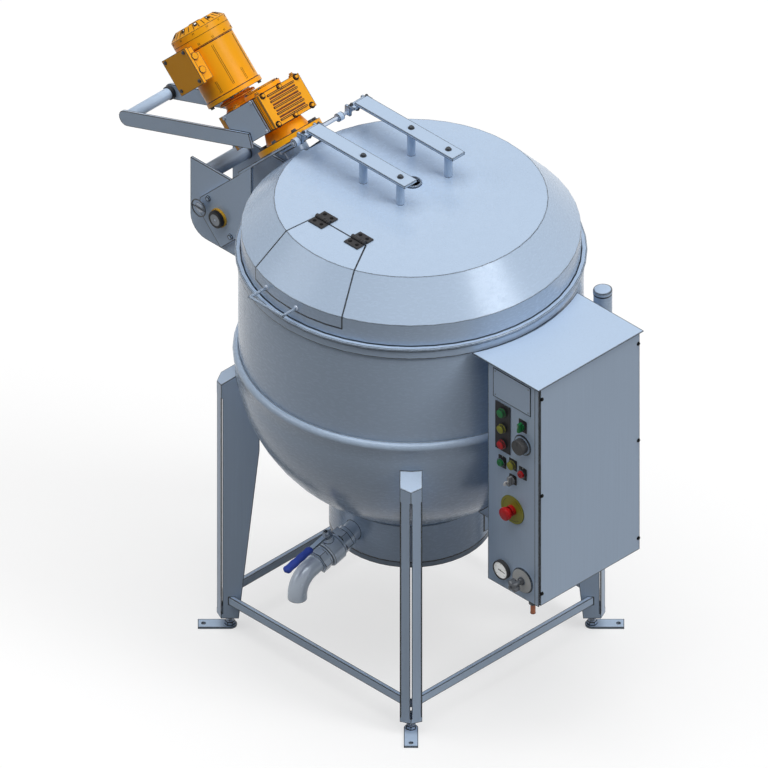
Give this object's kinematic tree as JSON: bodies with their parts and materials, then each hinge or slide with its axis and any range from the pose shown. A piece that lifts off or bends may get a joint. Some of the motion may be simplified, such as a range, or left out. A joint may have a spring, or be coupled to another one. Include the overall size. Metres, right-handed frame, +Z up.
{
  "type": "steam jacketed kettle with inclined mixer",
  "caption": "Steam jacketed cooking kettle on four legs, with a hinged lid and hatch, a lift-out inclined scraper mixer, a ball drain valve and a side control box.",
  "frame": {"origin": "centre of the bounding box on the floor plane, under the foot plates", "axes": "+Z up; +X from the mixer's side to the control box's side; the operator, the hatch and the drain are on -Y"},
  "size_m": [1.7734, 1.035, 1.6828],
  "materials": {
    "stainless_steel": "satin",
    "heater_steel": "dull",
    "orange_enamel": "semi-gloss enamel",
    "blue_grip": "matt",
    "copper": "bare copper pipe",
    "black_plastic": "matt",
    "green_plastic": "gloss",
    "yellow_plastic": "gloss",
    "red_plastic": "gloss",
    "grey_plastic": "matt",
    "white_plastic": "matt"
  },
  "bodies": {
    "frame": {"kettle_bowl": "stainless_steel", "jacket_shell": "stainless_steel", "steam_sump": "stainless_steel", "heater_flange": "heater_steel", "terminal_cover": "stainless_steel", "leg_front": "stainless_steel", "leg_left": "stainless_steel", "leg_right": "stainless_steel", "leg_back": "stainless_steel", "foot_front": "stainless_steel", "foot_left": "stainless_steel", "foot_right": "stainless_steel", "foot_back": "stainless_steel", "base_rails": "stainless_steel", "drain_pipe": "stainless_steel", "valve_body": "stainless_steel", "drain_elbow": "stainless_steel", "mixer_bracket": "stainless_steel", "standpipe": "stainless_steel", "control_box": "stainless_steel", "control_box_top": "stainless_steel", "service_cover": "stainless_steel", "water_inlet_pipe": "copper", "lamp_plate": "black_plastic", "lamp_green": "green_plastic", "lamp_yellow": "yellow_plastic", "lamp_red": "red_plastic", "indicator_lamp": "yellow_plastic", "emergency_stop_collar": "yellow_plastic", "pressure_gauge": "stainless_steel"},
    "swing": {"swing_frame": "stainless_steel", "pivot_shaft": "black_plastic", "lid_hinge_rod": "stainless_steel", "lift_handle": "stainless_steel", "gearbox_housing": "orange_enamel", "gearbox_cover": "orange_enamel", "motor_body": "orange_enamel", "fan_cowl": "orange_enamel", "terminal_box": "orange_enamel", "seal_housing": "stainless_steel"},
    "agitator": {"agitator_frame": "stainless_steel", "scraper_strip": "white_plastic"},
    "fan": {"motor_fan": "black_plastic"},
    "pin": {"lock_pin": "stainless_steel"},
    "lid": {"lid_shell": "stainless_steel", "lid_arm_near": "stainless_steel", "lid_arm_far": "stainless_steel", "hatch_hinge_left": "black_plastic", "hatch_hinge_right": "black_plastic"},
    "hatch": {"hatch_panel": "stainless_steel"},
    "valve": {"valve_ball": "stainless_steel", "valve_lever": "stainless_steel", "lever_grip": "blue_grip"},
    "start": {"start_button": "green_plastic"},
    "stop": {"stop_button": "red_plastic"},
    "emergency_stop": {"emergency_stop_button": "red_plastic"},
    "selector": {"mode_selector": "green_plastic"},
    "key": {"key_switch": "grey_plastic"},
    "dial": {"temperature_dial": "black_plastic"},
    "tap": {"tap_knob": "stainless_steel"}
  },
  "joints": [
    {"name": "mixer_lift", "type": "hinge", "parent": "frame", "child": "swing", "pos_m": [-0.48828, 0.01738, 1.114], "axis": [0, -1, 0], "range_deg": [0, 70]},
    {"name": "lid_hinge", "type": "hinge", "parent": "swing", "child": "lid", "pos_m": [-0.19628, 0.01738, 1.514], "axis": [0, -1, 0], "range_deg": [0, 80]},
    {"name": "hatch_hinge", "type": "hinge", "parent": "lid", "child": "hatch", "pos_m": [0.17372, -0.23462, 1.4691], "axis": [-1, 0, 0], "range_deg": [0, 100]},
    {"name": "agitator_spin", "type": "hinge", "parent": "swing", "child": "agitator", "pos_m": [-0.30328, 0.01738, 1.428], "axis": [0.7071, 0, -0.7071], "continuous": true},
    {"name": "motor_fan_spin", "type": "hinge", "parent": "swing", "child": "fan", "pos_m": [-0.49631, 0.01738, 1.44709], "axis": [0.7071, 0, -0.7071], "continuous": true},
    {"name": "lock_pin_pull", "type": "slide", "parent": "swing", "child": "pin", "axis": [0, -1, 0], "range_m": [0, 0.02]},
    {"name": "valve_turn", "type": "hinge", "parent": "frame", "child": "valve", "pos_m": [0.17372, -0.3007, 0.41677], "axis": [0, -0.2588, 0.9659], "range_deg": [0, 90]},
    {"name": "start_press", "type": "slide", "parent": "frame", "child": "start", "axis": [0, 1, 0], "range_m": [0, 0.004], "stiffness_N_per_m": 500},
    {"name": "stop_press", "type": "slide", "parent": "frame", "child": "stop", "axis": [0, 1, 0], "range_m": [0, 0.004], "stiffness_N_per_m": 500},
    {"name": "emergency_stop_press", "type": "slide", "parent": "frame", "child": "emergency_stop", "axis": [0, 1, 0], "range_m": [0, 0.006]},
    {"name": "selector_turn", "type": "hinge", "parent": "frame", "child": "selector", "pos_m": [0.81672, -0.18262, 1.103], "axis": [0, -1, 0], "range_deg": [-45, 45]},
    {"name": "key_turn", "type": "hinge", "parent": "frame", "child": "key", "pos_m": [0.77772, -0.18262, 0.901], "axis": [0, -1, 0], "range_deg": [-45, 45]},
    {"name": "dial_turn", "type": "hinge", "parent": "frame", "child": "dial", "pos_m": [0.81672, -0.18262, 1.038], "axis": [0, 1, 0], "range_deg": [0, 270]},
    {"name": "tap_turn", "type": "hinge", "parent": "frame", "child": "tap", "pos_m": [0.81672, -0.18262, 0.574], "axis": [0, 1, 0], "range_deg": [0, 270]}
  ],
  "couplings": [
    {"joint": "motor_fan_spin", "follows": "agitator_spin", "ratio": 40}
  ]
}
